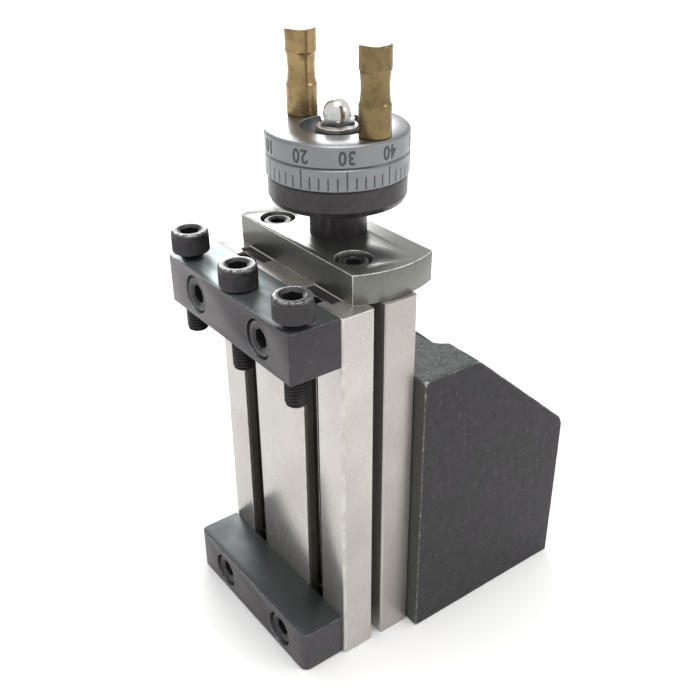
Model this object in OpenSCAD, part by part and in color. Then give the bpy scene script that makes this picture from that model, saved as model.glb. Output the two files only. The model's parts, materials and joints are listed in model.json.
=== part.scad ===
// Vertical milling slide on an angle bracket.
// +Z is up, +Y points away from the T-slots, +X is across the slide.
// The origin is the middle of the bracket's foot, on its underside.

/* [Slide] */
// Width of the table and the base
slide_w = 50; // [49:0.5:70]
// Height of the table
table_h = 93.1; // [88:0.1:120]
// Thickness of the table in front of the side groove
table_t = 8.5; // [8:0.1:12]
// Height of the table and the jaw above the foot's plane
floor_gap = 0.3; // [0.1:0.1:1]
// Thickness of the base
base_t = 8.6; // [8.4:0.1:12]
// Depth of the open groove between table and base, at the sides
side_gap = 2.8; // [2:0.1:4]
// Size of the broken edges on table and base
edge_c = 0.4; // [0.1:0.1:0.8]

/* [Dovetail] */
// Width of the tongue at its neck
neck_w = 36; // [35:0.5:37]
// Depth of the flared part of the tongue
tongue_d = 4; // [3:0.1:4.2]
// Angle of the dovetail flanks
flank_angle = 60; // [55:1:70]
// Sliding clearance of each flank
flank_gap = 0.1; // [0.05:0.01:0.15]
// Thickness of the gib strip
gib_t = 1.9; // [1.5:0.1:2.1]

/* [T-slots] */
// Distance between the two T-slots
slot_pitch = 26; // [25:0.5:28]
// Width of a slot's mouth
mouth_w = 5.8; // [5.2:0.1:7]
// Width of a slot behind its lips
slot_w = 10; // [9:0.1:12]
// Thickness of the lips
lip_t = 2.6; // [2:0.1:3]
// Total depth of a slot
slot_d = 5.2; // [4.8:0.1:6]

/* [Bracket] */
// How far the bracket stands out on each side of the slide
bracket_side = 3.6; // [0:0.1:8]
// Height of the bracket at its front
bracket_h = 73; // [70:0.5:85]
// Depth of the bracket's foot
bracket_d = 48.4; // [44:0.2:70]
// Height of the webs at the back
web_back_h = 44.3; // [20:0.1:60]
// Length of the flat top
top_flat = 16.3; // [14:0.1:20]
// Thickness of a web
web_t = 10.6; // [6:0.1:12]
// Thickness of the front plate
front_t = 13.2; // [12:0.1:20]
// Thickness of the foot
foot_t = 12; // [8:0.5:20]
// Radius in the corners of the pocket
pocket_r = 5; // [2:0.5:8]
// Distance between the foot's bolt holes across the slide
foot_hole_x = 20; // [16:0.5:24]
// Distance between the foot's bolt holes along the foot
foot_hole_y = 17; // [14:0.5:20]
// Diameter of the foot's bolt holes
foot_hole_d = 6.6; // [5:0.1:9]

/* [Leadscrew and dial] */
// Diameter of the leadscrew's thread
lead_d = 8; // [7:0.5:10]
// Distance from the table's front face to the leadscrew
lead_y = 17.6; // [17:0.1:18]
// Diameter of the plain shaft above the thread
shaft_d = 6; // [5:0.1:6.5]
// Height of the end plate
plate_t = 6.8; // [6:0.1:9]
// Radius of the end plate's round sides
plate_r = 24; // [22:0.1:30]
// Diameter of the collar's neck
neck_d = 12.8; // [11:0.1:16]
// Height of the collar's neck
neck_h = 8.3; // [6:0.1:12]
// Diameter of the collar's flange
flange_d = 30.4; // [24:0.1:36]
// Height of the collar's flange
flange_h = 5.6; // [4:0.1:8]
// Diameter of the dial
dial_d = 31.1; // [29:0.1:38]
// Height of the dial
dial_h = 9.8; // [9:0.1:14]
// Distance from the dial's axis to a handle's
handle_at = 11.6; // [11.5:0.1:12]
// Diameter of the handles
handle_d = 6.8; // [5:0.1:7]
// Height of the handles
handle_h = 18.2; // [14:0.1:30]
// Angle of the handles about the dial's axis
handle_turn = 5; // [0:1:360]

/* [Clamp bar] */
// Length of the clamp bar
bar_l = 49.4; // [48:0.1:60]
// Depth of the clamp bar
bar_d = 12.5; // [12:0.1:16]
// Height of the clamp bar
bar_h = 11.4; // [10.5:0.1:16]
// Height of the bar's top above the table's
bar_over = 0.2; // [-20:0.1:1]
// Distance between the clamp screws
clamp_pitch = 20.8; // [20.4:0.1:21]
// Distance from the table's face to the clamp screws
clamp_out = 8.5; // [8:0.1:9]
// Height of each clamp screw's head above the bar: far, middle, near
clamp_lift = [1.4, 0.4, 1.3];

/* [Lower jaw] */
// Length of the lower jaw
jaw_l = 49.4; // [48:0.1:60]
// Depth of the lower jaw
jaw_d = 11.4; // [11:0.1:16]
// Height of the lower jaw
jaw_h = 11.4; // [10.5:0.1:16]
// How far the jaw is set off centre
jaw_shift = -0.7; // [-1:0.1:1]
// Radius of the jaw's front corners
jaw_r = 2; // [0.5:0.1:3]

/* [Screws] */
// Diameter of the clamp and T-slot screws
m5_d = 5; // [4:0.1:5.2]
// Length of a clamp screw under its head
clamp_screw_l = 20; // [16:1:30]
// Diameter of the end plate, base and feed nut screws
m4_d = 4; // [3:0.1:4.2]
// Diameter of the gib screws
m3_d = 3; // [2.5:0.1:3.2]

/* [Hidden] */
$fn = 96;
cut = 1;           // how far a cutting tool runs past a face
seat = 0.02;       // radial room of a fixed screw or spigot in its hole
run_gap = 0.05;    // radial running clearance of a shaft or a moving screw
face_gap = 0.05;   // room between faces that slide on each other
side_room = 0.7;   // room around the nut and the leadscrew

// Planes along Y, from the T-slots to the back
bracket_y = -bracket_d / 2;
base_y = bracket_y - base_t;
cheek_y = base_y - side_gap;
table_y = cheek_y - table_t;
tongue_y = base_y + tongue_d;
web_gap = 0.3;
web_y = tongue_y + web_gap;
screw_y = table_y + lead_y;
flare = 1 / tan(flank_angle);

// Planes along Z
table_top = floor_gap + table_h;
base_h = table_top - 0.2;
plate_top = table_top + plate_t;
flange_z = plate_top + neck_h;
collar_top = flange_z + flange_h;
dial_z = collar_top + 0.1;
dial_top = dial_z + dial_h;

// Feed nut
nut_wall = 2.75;
nut_w = lead_d + 2 * nut_wall;
nut_h = 14;
nut_z = bracket_h - 1 - nut_h;
nut_y = screw_y - lead_d / 2 - run_gap - nut_wall;
nut_flange_t = 5;
nut_screw_x = nut_w / 2 + m4_d / 2 + 1.05;
nut_flange_w = 2 * (nut_screw_x + m4_d / 2 + 1.2);
nut_screw_l = front_t - m4_d - 0.8;
nut_seat_y = bracket_y + nut_flange_t + run_gap;

// Leadscrew
lead_end = 12;
slot_floor = lead_end - 2;
shoulder_d = lead_d + 3;
shoulder_h = 2.3;
shoulder_z = table_top + 0.2;
washer_t = 0.9;
washer_r = shoulder_d / 2 + 0.3;
plate_pocket_r = washer_r + 0.5;
shoulder_top = shoulder_z + shoulder_h;
pocket_top = shoulder_top + washer_t + 2 * face_gap;
stud_d = 4;
boss_r = 4.75;
recess_r = 8;
recess_d = 1.6;
dial_washer_t = 0.8;
stud_top = dial_top + 2.9;
key_w = 2;
key_l = 6;
key_z = dial_z + 1.2;
spigot_d = 4;
spigot_l = 4.8;

// Screw heads: height equals the diameter, socket half of it
function head_r(d) = 0.85 * d;
function cap_af(d) = 0.8 * d;
plate_screw_x = 14.5;
plate_screw_y = table_y + 10.9;
plate_bore_d = 4.5;
plate_screw_l = 10;
plate_d = 21.3;
plate_arc_y = table_y + 16;
base_screw_x = nut_w / 2 + side_room + 1.25 * m4_d + 0.25;
base_screw_z = [14, 46];
base_screw_l = 12;
gib_screw_z = [15, 46, 77];
gib_screw_y = base_y + tongue_d / 2 + 0.1;
gib_wall = neck_w / 2 + flank_gap + gib_t + flank_gap;
gib_screw_x = gib_wall + flare * (tongue_d / 2 + m3_d / 2 + 0.2);
gib_screw_l = 8;
gib_nut_t = 2.2;
bar_z = table_top + bar_over - bar_h;
bar_hole_z = bar_z + bar_h / 2;
bar_screw_l = 12;
jaw_hole_z = floor_gap + 5.4;
jaw_screw_l = 10;
jaw_screw_short = 0.6;   // how far the jaw screws stop short of their T-nuts' backs
bore_r = head_r(m5_d) + 0.25;
t_nut_l = 10;
t_nut_w = slot_w - 0.4;
t_nut_t = slot_d - lip_t - 0.4;
t_nut_y = table_y + lip_t + face_gap;
t_nut_back = t_nut_y + t_nut_t;
jaw_seat_y = t_nut_back - jaw_screw_short - jaw_screw_l;
clamp_x = [-clamp_pitch - 0.3, -0.3, clamp_pitch - 0.3];
clamp_y = table_y - clamp_out;

// Points of an arc, from angle a0 to a1
function arc(c, r, a0, a1, n = 8) =
  [for (i = [0:n]) c + r * [cos(a0 + (a1 - a0) * i / n), sin(a0 + (a1 - a0) * i / n)]];

// Socket head cap screw: the head stands on z = 0, the shank points down
module cap_screw(d, l) {
  hr = head_r(d);
  c = d / 10;
  difference() {
    rotate_extrude()
      polygon([[0, -l], [d / 2 - 2 * c, -l], [d / 2, -l + 2 * c], [d / 2, 0], [hr, 0],
               [hr, d - c], [hr - c, d], [0, d]]);
    translate([0, 0, 0.45 * d])
      cylinder(h = d, r = cap_af(d) / sqrt(3), $fn = 6);
  }
}

// Countersunk screw: the flat of its head is at z = 0, the shank points down
module flat_screw(d, l) {
  difference() {
    rotate_extrude()
      polygon([[0, -l], [d / 2 - d / 8, -l], [d / 2, -l + d / 8], [d / 2, -d / 2],
               [d, -0.1 * d / 4], [d, 0], [0, 0]]);
    translate([0, 0, -0.35 * d])
      cylinder(h = d, r = 0.625 * d / sqrt(3), $fn = 6);
  }
}

// T-nut with its threaded hole, its front face at y = 0
module t_nut() {
  difference() {
    translate([-t_nut_w / 2, 0, -t_nut_l / 2])
      cube([t_nut_w, t_nut_t, t_nut_l]);
    translate([0, -cut, 0])
      rotate([-90, 0, 0])
        cylinder(h = t_nut_t + 2 * cut, r = m5_d / 2 + seat);
  }
}

// Tool for a counterbored hole along Y, its mouth at the front
module t_slot_hole(x, z, front, seat_y) {
  translate([x, front - cut, z])
    rotate([-90, 0, 0])
      cylinder(h = seat_y - front + cut, r = bore_r);
  translate([x, front, z])
    rotate([-90, 0, 0])
      cylinder(h = table_y - front + cut, r = m5_d / 2 + 0.25);
}

// Plan of a block with its front corners rounded and its back at y = 0
module block_plan(w, d, r) {
  polygon(concat([[w / 2, 0], [-w / 2, 0]],
                 arc([-w / 2 + r, -d + r], r, 180, 270),
                 arc([w / 2 - r, -d + r], r, 270, 360)));
}

module tongue_plan(grow) {
  half = neck_w / 2 + grow;
  wide = half + flare * (tongue_d + grow);
  polygon([[-half, cheek_y - cut], [half, cheek_y - cut], [half, base_y],
           [wide, tongue_y + grow], [-wide, tongue_y + grow], [-half, base_y]]);
}

module angle_bracket() {
  w = slide_w + 2 * bracket_side;
  back = bracket_d / 2;
  plate_y = bracket_y + front_t;
  r = 4;
  slope = atan2(bracket_h - web_back_h, bracket_d - top_flat);
  lift = r * tan((90 - slope) / 2);
  side = concat([[bracket_y, 0], [back, 0]],
                arc([back - r, web_back_h - lift], r, 0, 90 - slope),
                [[bracket_y + top_flat, bracket_h], [bracket_y, bracket_h]]);
  pocket_w = w - 2 * web_t;
  color("dimgray")
    difference() {
      translate([-w / 2, 0, 0])
        rotate([90, 0, 90])
          linear_extrude(w)
            polygon(side);
      // pocket between the webs, open at the top and the back
      translate([0, 0, foot_t])
        linear_extrude(bracket_h)
          polygon(concat([[pocket_w / 2, back + cut], [-pocket_w / 2, back + cut]],
                         arc([-pocket_w / 2 + pocket_r, plate_y + pocket_r], pocket_r, 180, 270),
                         arc([pocket_w / 2 - pocket_r, plate_y + pocket_r], pocket_r, 270, 360)));
      // relief for the leadscrew
      translate([-lead_d / 2 - side_room, bracket_y - cut, slot_floor])
        cube([lead_d + 2 * side_room, screw_y + lead_d / 2 + side_room - bracket_y + cut, bracket_h]);
      // seat for the feed nut's flange
      translate([-nut_flange_w / 2 - face_gap, bracket_y - cut, nut_z - face_gap])
        cube([nut_flange_w + 2 * face_gap, nut_flange_t + face_gap + cut, bracket_h]);
      for (x = [-nut_screw_x, nut_screw_x])
        translate([x, plate_y + cut, nut_z + nut_h / 2])
          rotate([90, 0, 0]) {
            cylinder(h = front_t + cut, r = m4_d / 2 + 0.2);
            cylinder(h = m4_d + cut + 0.5, r = head_r(m4_d) + 0.3);
          }
      for (x = [-base_screw_x, base_screw_x], z = base_screw_z)
        translate([x, bracket_y - cut, z])
          rotate([-90, 0, 0])
            cylinder(h = base_screw_l, r = m4_d / 2 + seat);
      for (x = [-foot_hole_x / 2, foot_hole_x / 2], y = [-foot_hole_y / 2, foot_hole_y / 2])
        translate([x, (plate_y + back) / 2 + y, -cut])
          cylinder(h = foot_t + 2 * cut, r = foot_hole_d / 2);
    }
}

module dovetail_base() {
  half = neck_w / 2 + flank_gap;
  deep = tongue_d + web_gap;
  c = edge_c;
  color("silver")
    difference() {
      linear_extrude(base_h)
        difference() {
          polygon([[-slide_w / 2 + c, base_y], [slide_w / 2 - c, base_y], [slide_w / 2, base_y + c],
                   [slide_w / 2, bracket_y - c], [slide_w / 2 - c, bracket_y],
                   [-slide_w / 2 + c, bracket_y], [-slide_w / 2, bracket_y - c],
                   [-slide_w / 2, base_y + c]]);
          polygon([[-gib_wall, base_y - cut], [half, base_y - cut], [half, base_y],
                   [half + flare * deep, web_y], [-gib_wall - flare * deep, web_y],
                   [-gib_wall, base_y]]);
        }
      translate([-nut_w / 2 - side_room, base_y, slot_floor])
        cube([nut_w + 2 * side_room, base_t + cut, base_h]);
      for (x = [-base_screw_x, base_screw_x], z = base_screw_z)
        translate([x, web_y, z])
          rotate([-90, 0, 0]) {
            translate([0, 0, -cut])
              cylinder(h = base_t + cut, r = m4_d / 2 + 0.1);
            translate([0, 0, -cut])
              cylinder(h = m4_d / 2 + cut + 0.35, r1 = 1.55 * m4_d, r2 = m4_d / 2 + 0.1);
          }
      for (z = gib_screw_z)
        translate([-slide_w / 2 - cut, gib_screw_y, z])
          rotate([0, 90, 0])
            cylinder(h = slide_w / 2 - neck_w / 2, r = m3_d / 2 + seat);
    }
}

module base_screws() {
  color("dimgray")
    for (x = [-base_screw_x, base_screw_x], z = base_screw_z)
      translate([x, web_y + 0.25, z])
        rotate([90, 0, 0])
          flat_screw(m4_d, base_screw_l);
}

module feed_nut() {
  color("peru")
    difference() {
      union() {
        translate([-nut_w / 2, nut_y, nut_z])
          cube([nut_w, nut_seat_y - nut_y, nut_h]);
        translate([-nut_flange_w / 2, nut_seat_y - nut_flange_t, nut_z])
          cube([nut_flange_w, nut_flange_t, nut_h]);
      }
      translate([0, screw_y, nut_z - cut])
        cylinder(h = nut_h + 2 * cut, r = lead_d / 2 + run_gap);
      for (x = [-nut_screw_x, nut_screw_x])
        translate([x, nut_seat_y + cut, nut_z + nut_h / 2])
          rotate([90, 0, 0])
            cylinder(h = nut_flange_t + 2 * cut, r = m4_d / 2 + seat);
    }
}

module feed_nut_screws() {
  color("dimgray")
    for (x = [-nut_screw_x, nut_screw_x])
      translate([x, bracket_y + front_t - m4_d - 0.5, nut_z + nut_h / 2])
        rotate([-90, 0, 0])
          cap_screw(m4_d, nut_screw_l);
}

module gib_strip() {
  x = neck_w / 2 + flank_gap;
  low = base_y + 0.1;
  high = tongue_y + 0.1;
  in = x + flare * 0.1;
  out = x + flare * (tongue_d + 0.1);
  color("gainsboro")
    translate([0, 0, 0.4])
      linear_extrude(base_h - 0.8)
        polygon([[-in, low], [-out, high], [-out - gib_t, high], [-in - gib_t, low]]);
}

module gib_screws() {
  color("dimgray")
    for (z = gib_screw_z)
      translate([-gib_screw_x, gib_screw_y, z])
        rotate([0, -90, 0])
          difference() {
            cylinder(h = gib_screw_l, r = m3_d / 2);
            translate([0, 0, gib_screw_l - m3_d / 2])
              cylinder(h = m3_d, r = m3_d / 4 * 2 / sqrt(3), $fn = 6);
          }
}

module gib_lock_nuts() {
  color("silver")
    for (z = gib_screw_z)
      translate([-slide_w / 2, gib_screw_y, z])
        rotate([0, -90, 0])
          difference() {
            cylinder(h = gib_nut_t, r = 1.83 * m3_d / sqrt(3), $fn = 6);
            translate([0, 0, -cut])
              cylinder(h = gib_nut_t + 2 * cut, r = m3_d / 2 + seat);
          }
}

module slide_table() {
  c = edge_c;
  half = slide_w / 2;
  groove_w = nut_w + 2 * side_room;
  color("gainsboro")
    difference() {
      translate([0, 0, floor_gap])
        linear_extrude(table_h)
          difference() {
            union() {
              polygon([[-half + c, table_y], [half - c, table_y], [half, table_y + c],
                       [half, cheek_y - c], [half - c, cheek_y], [-half + c, cheek_y],
                       [-half, cheek_y - c], [-half, table_y + c]]);
              tongue_plan(0);
            }
            for (x = [-slot_pitch / 2, slot_pitch / 2]) {
              translate([x - mouth_w / 2, table_y - cut])
                square([mouth_w, lip_t + cut + 0.1]);
              translate([x - slot_w / 2, table_y + lip_t])
                square([slot_w, slot_d - lip_t]);
            }
            translate([-groove_w / 2, nut_y - side_room])
              square([groove_w, tongue_y - nut_y + side_room + cut]);
          }
      for (x = [-plate_screw_x, plate_screw_x])
        translate([x, plate_screw_y, table_top - plate_screw_l])
          cylinder(h = plate_screw_l + cut, r = m4_d / 2 + seat);
    }
}

module end_plate() {
  front = table_y + slot_d + 0.1;
  back = front + plate_d;
  color("darkkhaki")
    difference() {
      translate([0, 0, table_top])
        linear_extrude(plate_t)
          intersection() {
            translate([0, plate_arc_y])
              circle(r = plate_r);
            translate([-plate_r, front])
              square([2 * plate_r, back - front]);
          }
      for (x = [-plate_screw_x, plate_screw_x])
        translate([x, plate_screw_y, 0]) {
          translate([0, 0, table_top - cut])
            cylinder(h = plate_t + 2 * cut, r = m4_d / 2 + 0.2);
          translate([0, 0, plate_top - plate_bore_d])
            cylinder(h = plate_bore_d + cut, r = head_r(m4_d) + 0.65);
        }
      translate([0, screw_y, table_top - cut])
        cylinder(h = pocket_top - table_top + cut, r = plate_pocket_r);
      translate([0, screw_y, table_top])
        cylinder(h = plate_t + cut, r = shaft_d / 2 + 2 + seat);
    }
}

module end_plate_screws() {
  color("dimgray")
    for (x = [-plate_screw_x, plate_screw_x])
      translate([x, plate_screw_y, plate_top - plate_bore_d])
        cap_screw(m4_d, plate_screw_l);
}

module index_collar() {
  fr = flange_d / 2;
  c = 0.5;
  color([0.2, 0.19, 0.2])
    translate([0, screw_y, 0])
      difference() {
        rotate_extrude()
          polygon([[0, pocket_top], [shaft_d / 2 + 2, pocket_top], [shaft_d / 2 + 2, plate_top],
                   [neck_d / 2, plate_top], [neck_d / 2, flange_z], [fr - c, flange_z],
                   [fr, flange_z + c], [fr, collar_top], [0, collar_top]]);
        translate([0, 0, pocket_top - cut])
          cylinder(h = collar_top - pocket_top + 2 * cut, r = shaft_d / 2 + run_gap);
        translate([0, 0, collar_top - washer_t + face_gap])
          cylinder(h = washer_t + cut, r = washer_r + 0.3);
      }
}

module thrust_washers() {
  color("peru")
    for (z = [shoulder_top + face_gap, collar_top - washer_t + face_gap])
      translate([0, screw_y, z])
        difference() {
          cylinder(h = washer_t, r = washer_r);
          translate([0, 0, -cut])
            cylinder(h = washer_t + 2 * cut, r = shaft_d / 2 + run_gap);
        }
}

module leadscrew() {
  color("lightgray")
    translate([0, screw_y, 0])
      difference() {
        rotate_extrude()
          polygon([[0, lead_end], [lead_d / 2 - 1, lead_end], [lead_d / 2, lead_end + 1],
                   [lead_d / 2, shoulder_z], [shoulder_d / 2, shoulder_z],
                   [shoulder_d / 2, shoulder_top], [shaft_d / 2, shoulder_top],
                   [shaft_d / 2, key_z + key_l + 0.4], [stud_d / 2, key_z + key_l + 0.4],
                   [stud_d / 2, stud_top], [0, stud_top]]);
        translate([shaft_d / 2 - key_w / 2, -key_w / 2, key_z])
          cube([key_w, key_w, key_l]);
      }
}

module dial() {
  r = dial_d / 2;
  c = 0.6;
  line_z = dial_z + dial_h / 2;
  line_d = 0.35;
  color("silver")
    translate([0, screw_y, 0])
      difference() {
        rotate_extrude()
          polygon([[stud_d / 2 + seat, key_z + key_l + 0.5], [shaft_d / 2 + seat, key_z + key_l + 0.5],
                   [shaft_d / 2 + seat, dial_z], [r - c / 2, dial_z], [r, dial_z + c / 2],
                   [r, line_z - line_d], [r - line_d, line_z], [r, line_z + line_d],
                   [r, dial_top - c], [r - c, dial_top], [recess_r, dial_top],
                   [recess_r, dial_top - recess_d], [boss_r, dial_top - recess_d],
                   [boss_r, dial_top - dial_washer_t], [stud_d / 2 + seat, dial_top - dial_washer_t]]);
        translate([0, -key_w / 2 - seat, dial_z - cut])
          cube([shaft_d / 2 + key_w / 2 + seat, key_w + 2 * seat, key_z + key_l - dial_z + cut + 0.5]);
        for (a = [handle_turn, handle_turn + 180])
          rotate([0, 0, a])
            translate([handle_at, 0, dial_top - spigot_l - 0.2])
              cylinder(h = spigot_l + cut, r = spigot_d / 2 + seat);
      }
}

module dial_key() {
  color("gray")
    translate([shaft_d / 2 - key_w / 2, screw_y - key_w / 2, key_z])
      cube([key_w, key_w, key_l]);
}

module dial_washer() {
  color("silver")
    translate([0, screw_y, dial_top - dial_washer_t])
      difference() {
        cylinder(h = dial_washer_t, r = boss_r - 0.25);
        translate([0, 0, -cut])
          cylinder(h = dial_washer_t + 2 * cut, r = stud_d / 2 + 0.15);
      }
}

module dome_nut() {
  hex_h = 1.7;
  dome_r = 2.95;
  color("white")
    translate([0, screw_y, dial_top])
      difference() {
        union() {
          cylinder(h = hex_h, r = 7 / sqrt(3), $fn = 6);
          cylinder(h = 2.55, r = dome_r);
          translate([0, 0, 2.55])
            sphere(r = dome_r);
        }
        translate([0, 0, -2 * cut])
          cylinder(h = stud_top - dial_top + 0.2 + 2 * cut, r = stud_d / 2 + seat);
      }
}

// Brass handle: two plain ends, a hollow waist between them, a spigot below
module handle(a) {
  r = handle_d / 2;
  low = 0.36 * handle_h;
  high = 0.74 * handle_h;
  sag = 0.45;
  chord = (high - low) / 2;
  waist_r = (chord * chord + sag * sag) / (2 * sag);
  swing = asin(chord / waist_r);
  color("darkgoldenrod")
    translate([0, screw_y, dial_top])
      rotate([0, 0, a])
        translate([handle_at, 0, 0])
          rotate_extrude()
            polygon(concat([[0, -spigot_l], [spigot_d / 2, -spigot_l], [spigot_d / 2, 0],
                            [r - 0.15, 0], [r, 0.15]],
                           arc([r - sag + waist_r, (low + high) / 2], waist_r,
                               180 + swing, 180 - swing, 12),
                           [[r, handle_h - 0.15], [r - 0.15, handle_h], [0, handle_h]]));
}

module handle_far() {
  handle(handle_turn + 180);
}

module handle_near() {
  handle(handle_turn);
}

module clamp_bar() {
  color([0.25, 0.24, 0.26])
    difference() {
      translate([0, table_y - face_gap, bar_z])
        linear_extrude(bar_h)
          block_plan(bar_l, bar_d - face_gap, edge_c);
      for (x = [-slot_pitch / 2, slot_pitch / 2])
        t_slot_hole(x, bar_hole_z, table_y - bar_d, t_nut_back - bar_screw_l);
      for (x = clamp_x)
        translate([x, clamp_y, bar_z - cut])
          cylinder(h = bar_h + 2 * cut, r = m5_d / 2 + run_gap);
    }
}

module clamp_bar_screws() {
  color("dimgray")
    for (x = [-slot_pitch / 2, slot_pitch / 2])
      translate([x, t_nut_back - bar_screw_l, bar_hole_z])
        rotate([90, 0, 0])
          cap_screw(m5_d, bar_screw_l);
}

module clamp_bar_t_nuts() {
  color("gray")
    for (x = [-slot_pitch / 2, slot_pitch / 2])
      translate([x, t_nut_y, bar_hole_z])
        t_nut();
}

module clamp_screw(i) {
  color("dimgray")
    translate([clamp_x[i], clamp_y, bar_z + bar_h + clamp_lift[i]])
      cap_screw(m5_d, clamp_screw_l);
}

module clamp_screw_far() {
  clamp_screw(0);
}

module clamp_screw_middle() {
  clamp_screw(1);
}

module clamp_screw_near() {
  clamp_screw(2);
}

module lower_jaw() {
  color([0.25, 0.25, 0.27])
    difference() {
      translate([jaw_shift, table_y - face_gap, floor_gap])
        linear_extrude(jaw_h)
          block_plan(jaw_l, jaw_d - face_gap, jaw_r);
      for (x = [-slot_pitch / 2, slot_pitch / 2])
        t_slot_hole(x, jaw_hole_z, table_y - jaw_d, jaw_seat_y);
    }
}

module lower_jaw_screws() {
  color("dimgray")
    for (x = [-slot_pitch / 2, slot_pitch / 2])
      translate([x, jaw_seat_y, jaw_hole_z])
        rotate([90, 0, 0])
          cap_screw(m5_d, jaw_screw_l);
}

module lower_jaw_t_nuts() {
  color("gray")
    for (x = [-slot_pitch / 2, slot_pitch / 2])
      translate([x, t_nut_y, jaw_hole_z])
        t_nut();
}

angle_bracket();
dovetail_base();
base_screws();
feed_nut();
feed_nut_screws();
gib_strip();
gib_screws();
gib_lock_nuts();
slide_table();
end_plate();
end_plate_screws();
index_collar();
thrust_washers();
leadscrew();
dial();
dial_key();
dial_washer();
dome_nut();
handle_far();
handle_near();
clamp_bar();
clamp_bar_screws();
clamp_bar_t_nuts();
clamp_screw_far();
clamp_screw_middle();
clamp_screw_near();
lower_jaw();
lower_jaw_screws();
lower_jaw_t_nuts();
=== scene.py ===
import json
import math

import bmesh
import bpy
import numpy as np
from mathutils import Matrix, Vector

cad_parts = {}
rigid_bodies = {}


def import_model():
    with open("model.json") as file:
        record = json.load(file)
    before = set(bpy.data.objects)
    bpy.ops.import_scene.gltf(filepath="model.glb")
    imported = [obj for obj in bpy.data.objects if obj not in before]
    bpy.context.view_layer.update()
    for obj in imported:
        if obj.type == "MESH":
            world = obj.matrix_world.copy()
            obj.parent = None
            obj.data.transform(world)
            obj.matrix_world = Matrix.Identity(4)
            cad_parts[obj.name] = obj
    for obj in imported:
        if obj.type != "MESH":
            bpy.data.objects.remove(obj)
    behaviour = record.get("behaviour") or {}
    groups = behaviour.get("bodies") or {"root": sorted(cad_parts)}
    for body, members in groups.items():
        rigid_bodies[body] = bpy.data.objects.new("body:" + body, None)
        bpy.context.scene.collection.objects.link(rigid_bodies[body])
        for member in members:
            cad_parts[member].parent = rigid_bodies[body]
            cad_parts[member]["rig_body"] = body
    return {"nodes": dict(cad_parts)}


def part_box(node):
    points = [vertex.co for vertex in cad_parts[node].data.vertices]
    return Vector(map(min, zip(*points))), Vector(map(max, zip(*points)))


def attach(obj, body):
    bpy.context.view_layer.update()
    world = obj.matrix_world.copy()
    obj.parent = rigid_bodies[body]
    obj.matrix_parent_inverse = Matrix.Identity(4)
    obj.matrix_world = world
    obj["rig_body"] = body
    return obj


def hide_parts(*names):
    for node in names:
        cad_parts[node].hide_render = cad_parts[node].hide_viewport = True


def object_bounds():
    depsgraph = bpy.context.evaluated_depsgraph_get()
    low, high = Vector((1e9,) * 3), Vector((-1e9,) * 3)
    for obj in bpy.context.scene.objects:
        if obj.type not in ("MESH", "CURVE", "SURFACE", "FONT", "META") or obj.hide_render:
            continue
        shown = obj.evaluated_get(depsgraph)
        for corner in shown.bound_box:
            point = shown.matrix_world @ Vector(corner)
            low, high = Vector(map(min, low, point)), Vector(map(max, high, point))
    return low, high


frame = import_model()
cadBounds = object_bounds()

mm = 0.001
scene = bpy.context.scene
print("frame loaded,", len(frame["nodes"]), "nodes")


# camera, light and floor

view = {
    "azimuth": 53.22,      # degrees from -Y towards +X
    "elevation": 29.54,
    "roll": -0.26,
    "lens": 47.67,
    "distance": 0.2147,
    "aim": (0.00769, -0.01223, 0.00196),   # from the middle of the whole object
    "sensor": 36,
    "nearest": 0.01,
}


def addCamera():
    low, high = (Vector(corner) for corner in cadBounds)
    turn = math.radians(view["azimuth"])
    rise = math.radians(view["elevation"])
    away = Vector((math.sin(turn) * math.cos(rise), -math.cos(turn) * math.cos(rise), math.sin(rise)))
    aim = (low + high) / 2 + Vector(view["aim"])
    data = bpy.data.cameras.new("camera")
    data.lens = view["lens"]
    data.sensor_width = view["sensor"]
    data.clip_start = view["nearest"]
    camera = bpy.data.objects.new("camera", data)
    scene.collection.objects.link(camera)
    camera.matrix_world = (
        Matrix.Translation(aim + away * view["distance"])
        @ (-away).to_track_quat("-Z", "Y").to_matrix().to_4x4()
        @ Matrix.Rotation(math.radians(view["roll"]), 4, "Z")
    )
    scene.camera = camera


studio = {
    "floorWide": 12.0,
    "floorColor": (0.93, 0.93, 0.925, 1),
    "floorRough": 0.8,
    "world": 0.95,
    "lampAim": (0, 0, 0.06),
    # name, place, width and height, watts, colour
    "lamps": [
        ("softboxBack", (-0.88, 0.38, 0.4), (0.54, 0.5), 6.4, (1.0, 1.0, 1.0)),
        ("softboxTop", (0.12, -0.06, 0.85), (0.5, 0.5), 2.6, (1.0, 0.99, 0.98)),
        ("softboxRight", (0.7, 0.5, 0.45), (0.3, 0.3), 1.3, (1.0, 0.98, 0.96)),
    ],
}


def addStudio():
    half = studio["floorWide"] / 2
    mesh = bpy.data.meshes.new("floor")
    corners = [(-half, -half, 0), (half, -half, 0), (half, half, 0), (-half, half, 0)]
    mesh.from_pydata(corners, [], [(0, 1, 2, 3)])
    floor = bpy.data.objects.new("floor", mesh)
    scene.collection.objects.link(floor)
    paint = Paint("floorPaint", studio["floorColor"], 0.0, studio["floorRough"])
    mesh.materials.append(paint.material)
    for name, place, size, watts, color in studio["lamps"]:
        data = bpy.data.lights.new(name, "AREA")
        data.shape = "RECTANGLE"
        data.size, data.size_y = size
        data.energy = watts
        data.color = color
        lamp = bpy.data.objects.new(name, data)
        scene.collection.objects.link(lamp)
        lamp.location = place
        towards = Vector(studio["lampAim"]) - Vector(place)
        lamp.rotation_euler = towards.to_track_quat("-Z", "Y").to_euler()
    world = bpy.data.worlds.new("studio")
    scene.world = world
    world.use_nodes = True
    back = world.node_tree.nodes["Background"]
    back.inputs["Color"].default_value = (1, 1, 1, 1)
    back.inputs["Strength"].default_value = studio["world"]
    scene.view_settings.view_transform = "Standard"


# a Tap is one output of a shader node, and sums on Taps add Math nodes

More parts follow.
